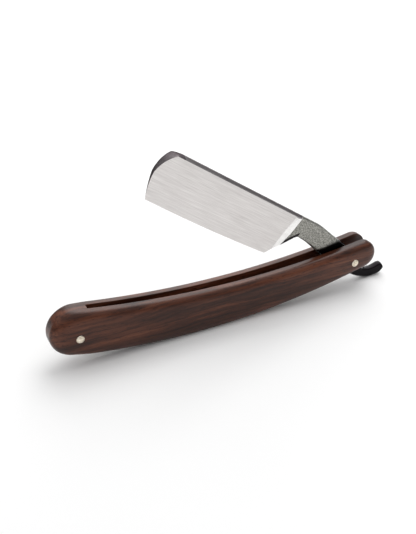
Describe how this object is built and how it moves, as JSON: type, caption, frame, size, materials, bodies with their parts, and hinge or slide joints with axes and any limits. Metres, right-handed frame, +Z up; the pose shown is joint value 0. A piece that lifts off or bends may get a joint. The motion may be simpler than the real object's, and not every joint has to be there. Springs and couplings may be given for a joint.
{
  "type": "straight razor",
  "caption": "Folding straight razor: hollow-ground steel blade with a curled tail, pivoting in curved wooden scales.",
  "frame": {"origin": "middle of the length and of the thickness, on the surface that the razor stands on", "axes": "+X along the handle towards the pivot and the tail, +Y through the thickness to the rear scale, +Z up"},
  "size_m": [0.1718, 0.0184, 0.0864],
  "materials": {
    "rosewood": "polished dark rosewood",
    "blade_steel": "satin-ground faces, blackened spine, tang and tail",
    "nickel_silver": "polished nickel silver, a pale copper alloy",
    "washer_brass": "plain brass"
  },
  "bodies": {
    "handle": {"front_scale": "rosewood", "rear_scale": "rosewood", "wedge": "rosewood", "pivot_pin": "nickel_silver", "pivot_collar_front": "nickel_silver", "pivot_collar_rear": "nickel_silver", "wedge_pin": "nickel_silver", "wedge_collar_front": "nickel_silver", "wedge_collar_rear": "nickel_silver", "pivot_washer_front": "washer_brass", "pivot_washer_rear": "washer_brass"},
    "blade": {"blade": "blade_steel"}
  },
  "joints": [
    {"name": "blade_pivot", "type": "hinge", "parent": "handle", "child": "blade", "pos_m": [0.06306, 0, 0.01525], "axis": [0, 1, 0], "range_deg": [-30.5, 292]}
  ]
}
